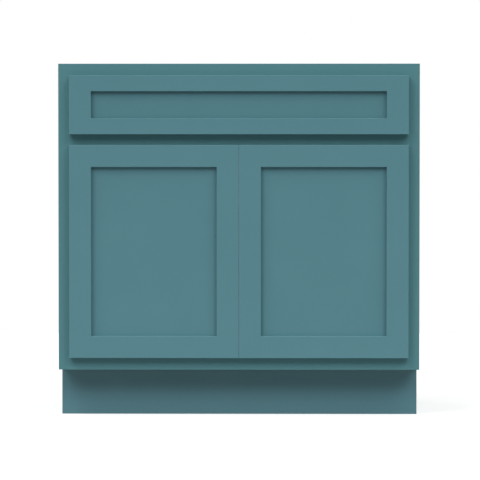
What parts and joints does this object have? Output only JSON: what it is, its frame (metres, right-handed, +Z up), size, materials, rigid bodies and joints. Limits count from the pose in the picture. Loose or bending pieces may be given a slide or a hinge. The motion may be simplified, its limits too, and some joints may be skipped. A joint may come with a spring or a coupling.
{
  "type": "bath vanity cabinet",
  "caption": "Painted face-frame bath vanity base with a wide false drawer front over a pair of recessed-panel doors on concealed hinges, a recessed toe kick and an open top for a basin.",
  "frame": {"origin": "on the floor, under the middle of the cabinet's overall box", "axes": "+Z up, +X to the right along the width, the doors face -Y"},
  "size_m": [0.9144, 0.5554, 0.8944],
  "materials": {
    "teal_paint": "satin paint",
    "birch_plywood": "clear satin",
    "nickel_steel": "nickel plated",
    "zinc_steel": "zinc plated",
    "brace_plastic": "moulded",
    "bumper_rubber": "soft"
  },
  "bodies": {
    "cabinet": {"back_panel": "birch_plywood", "cleat_screws": "zinc_steel", "corner_brace_front_left": "brace_plastic", "corner_brace_front_right": "brace_plastic", "corner_brace_rear_left": "brace_plastic", "corner_brace_rear_right": "brace_plastic", "corner_brace_screws": "zinc_steel", "deck_panel": "birch_plywood", "deck_support": "birch_plywood", "false_front_pads": "bumper_rubber", "false_front_panel": "teal_paint", "false_front_rail_bottom": "teal_paint", "false_front_rail_top": "teal_paint", "false_front_screws": "zinc_steel", "false_front_stile_left": "teal_paint", "false_front_stile_right": "teal_paint", "frame_rail_bottom": "teal_paint", "frame_rail_middle": "teal_paint", "frame_rail_top": "teal_paint", "frame_stile_left": "teal_paint", "frame_stile_right": "teal_paint", "front_cleat_left": "birch_plywood", "front_cleat_right": "birch_plywood", "hanging_rail_bottom": "birch_plywood", "hanging_rail_top": "birch_plywood", "hinge_arm_left_lower": "nickel_steel", "hinge_arm_left_upper": "nickel_steel", "hinge_arm_right_lower": "nickel_steel", "hinge_arm_right_upper": "nickel_steel", "hinge_arm_screws": "zinc_steel", "side_panel_left": "teal_paint", "side_panel_right": "teal_paint", "toe_kick_board": "birch_plywood", "toe_kick_cover": "teal_paint"},
    "door_left": {"door_left_bumpers": "bumper_rubber", "door_left_cup_screws": "zinc_steel", "door_left_hinge_cup_lower": "nickel_steel", "door_left_hinge_cup_upper": "nickel_steel", "door_left_hinge_pins": "nickel_steel", "door_left_hinge_stile": "teal_paint", "door_left_meeting_stile": "teal_paint", "door_left_panel": "teal_paint", "door_left_rail_bottom": "teal_paint", "door_left_rail_top": "teal_paint"},
    "door_right": {"door_right_bumpers": "bumper_rubber", "door_right_cup_screws": "zinc_steel", "door_right_hinge_cup_lower": "nickel_steel", "door_right_hinge_cup_upper": "nickel_steel", "door_right_hinge_pins": "nickel_steel", "door_right_hinge_stile": "teal_paint", "door_right_meeting_stile": "teal_paint", "door_right_panel": "teal_paint", "door_right_rail_bottom": "teal_paint", "door_right_rail_top": "teal_paint"}
  },
  "joints": [
    {"name": "door_left_hinge", "type": "hinge", "parent": "cabinet", "child": "door_left", "pos_m": [-0.4219, -0.26662, 0.41945], "axis": [0, 0, -1], "range_deg": [0, 105]},
    {"name": "door_right_hinge", "type": "hinge", "parent": "cabinet", "child": "door_right", "pos_m": [0.4219, -0.26662, 0.41945], "axis": [0, 0, 1], "range_deg": [0, 105]}
  ]
}
